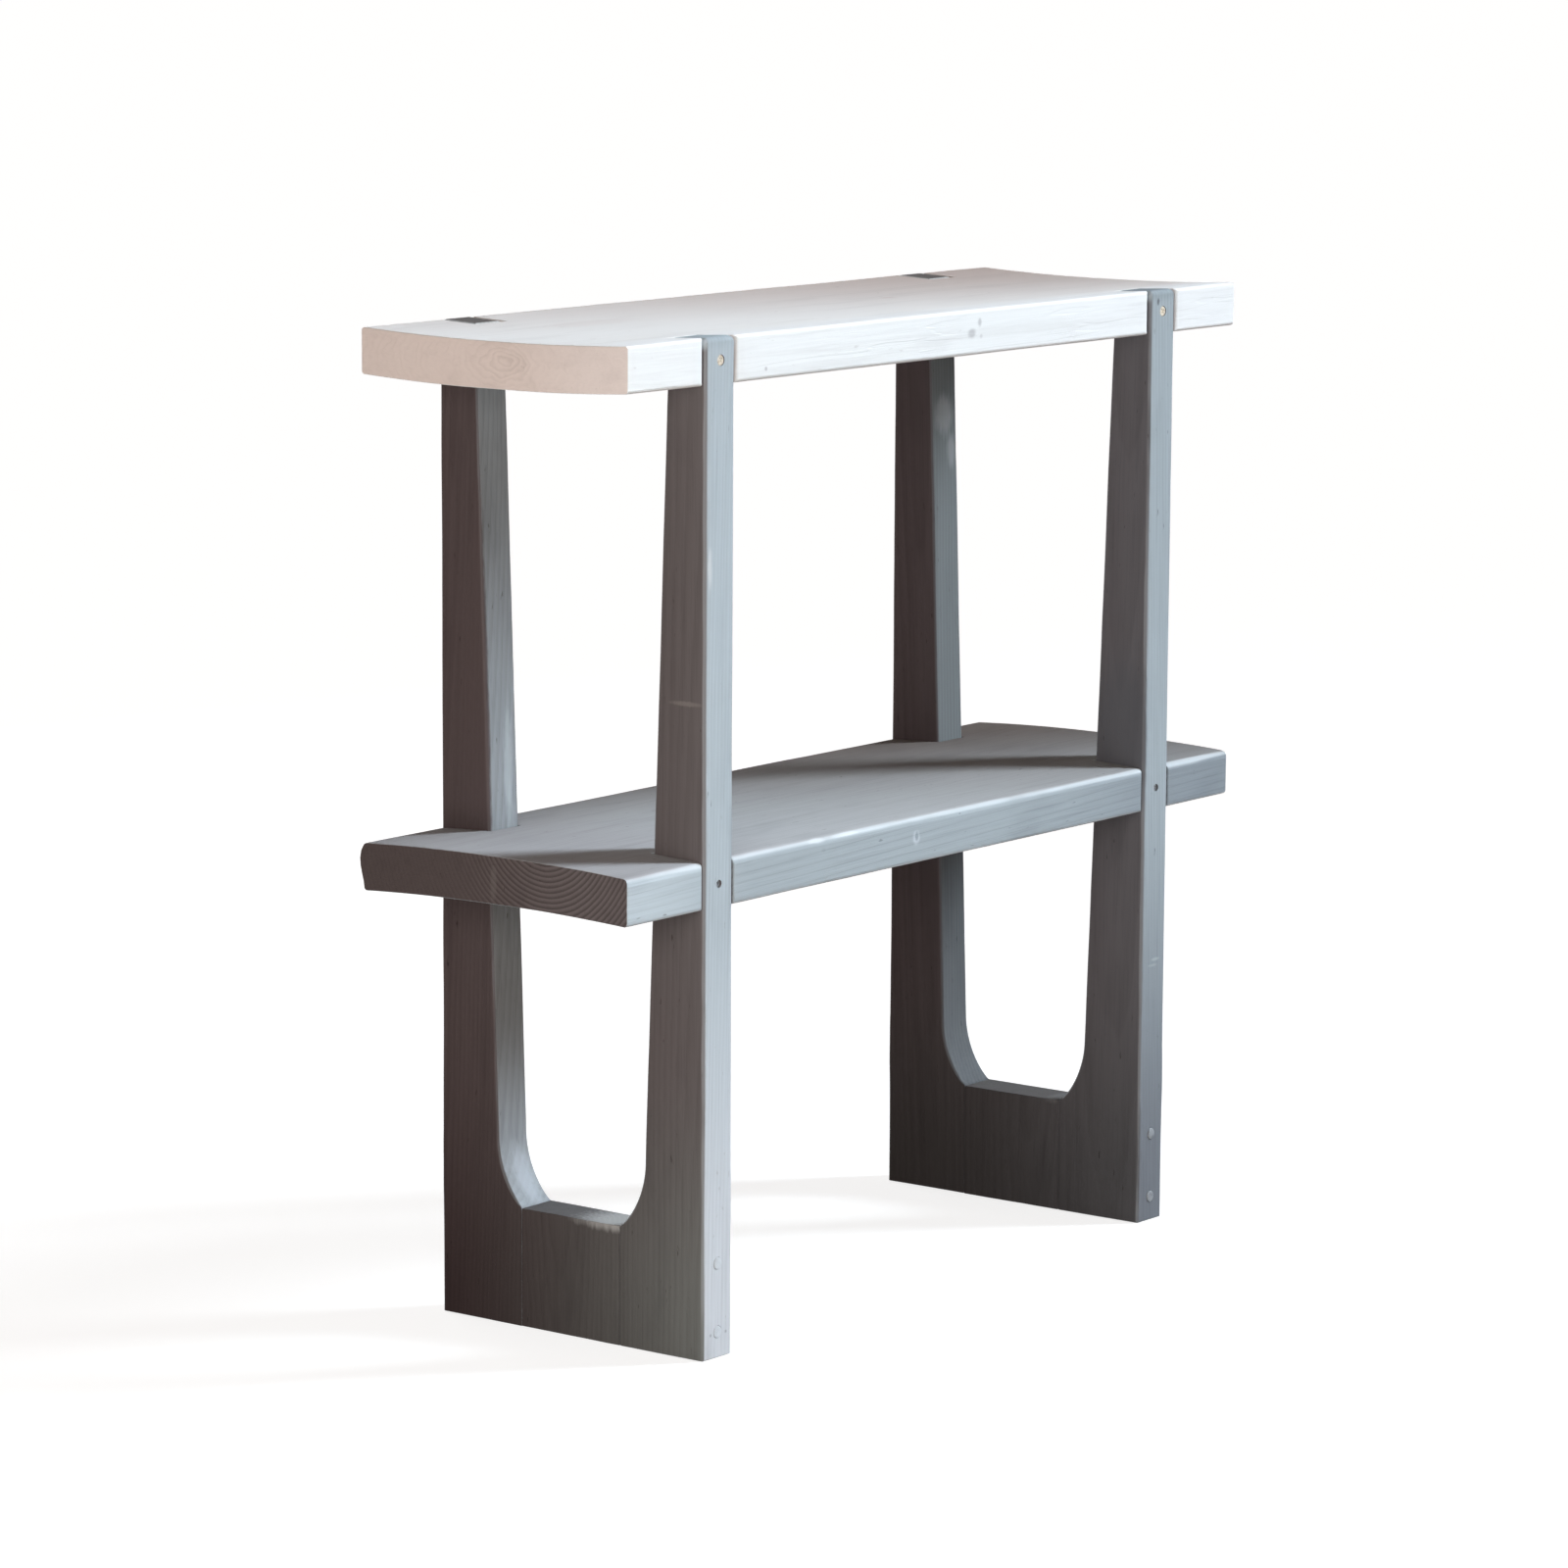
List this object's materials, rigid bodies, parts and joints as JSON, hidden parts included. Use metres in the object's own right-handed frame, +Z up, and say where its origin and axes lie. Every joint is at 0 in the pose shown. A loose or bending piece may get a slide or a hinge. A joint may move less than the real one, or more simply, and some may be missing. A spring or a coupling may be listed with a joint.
{
  "type": "plant stand",
  "caption": "Tiered plant stand of thick stained boards: fork-shaped end frames with tapered legs wedge and carry a white-washed top shelf and a grey lower shelf.",
  "frame": {"origin": "on the floor, under the middle of the stand", "axes": "+X along the shelves, +Y from the front to the back, +Z up"},
  "size_m": [0.858, 0.2776, 0.829],
  "materials": {
    "grey_stained_pine": "thin grey stain on planed softwood, satin",
    "white_washed_pine": "white wash on planed softwood, satin",
    "stained_dowel": "grey stained end grain",
    "yellow_zinc_steel": "yellow zinc plating",
    "dark_steel": "dark, stained over"
  },
  "bodies": {
    "root": {"left_front_leg": "grey_stained_pine", "left_back_leg": "grey_stained_pine", "right_front_leg": "grey_stained_pine", "right_back_leg": "grey_stained_pine", "left_centre_block": "grey_stained_pine", "right_centre_block": "grey_stained_pine", "top_shelf": "white_washed_pine", "lower_shelf": "grey_stained_pine", "top_screw_left_front": "yellow_zinc_steel", "top_screw_left_back": "yellow_zinc_steel", "top_screw_right_front": "yellow_zinc_steel", "top_screw_right_back": "yellow_zinc_steel", "lower_screw_left_front": "dark_steel", "lower_screw_left_back": "dark_steel", "lower_screw_right_front": "dark_steel", "lower_screw_right_back": "dark_steel", "foot_dowel_left_front_lower": "stained_dowel", "foot_dowel_left_front_upper": "stained_dowel", "foot_dowel_left_back_lower": "stained_dowel", "foot_dowel_left_back_upper": "stained_dowel", "foot_dowel_right_front_lower": "stained_dowel", "foot_dowel_right_front_upper": "stained_dowel", "foot_dowel_right_back_lower": "stained_dowel", "foot_dowel_right_back_upper": "stained_dowel"}
  },
  "joints": []
}
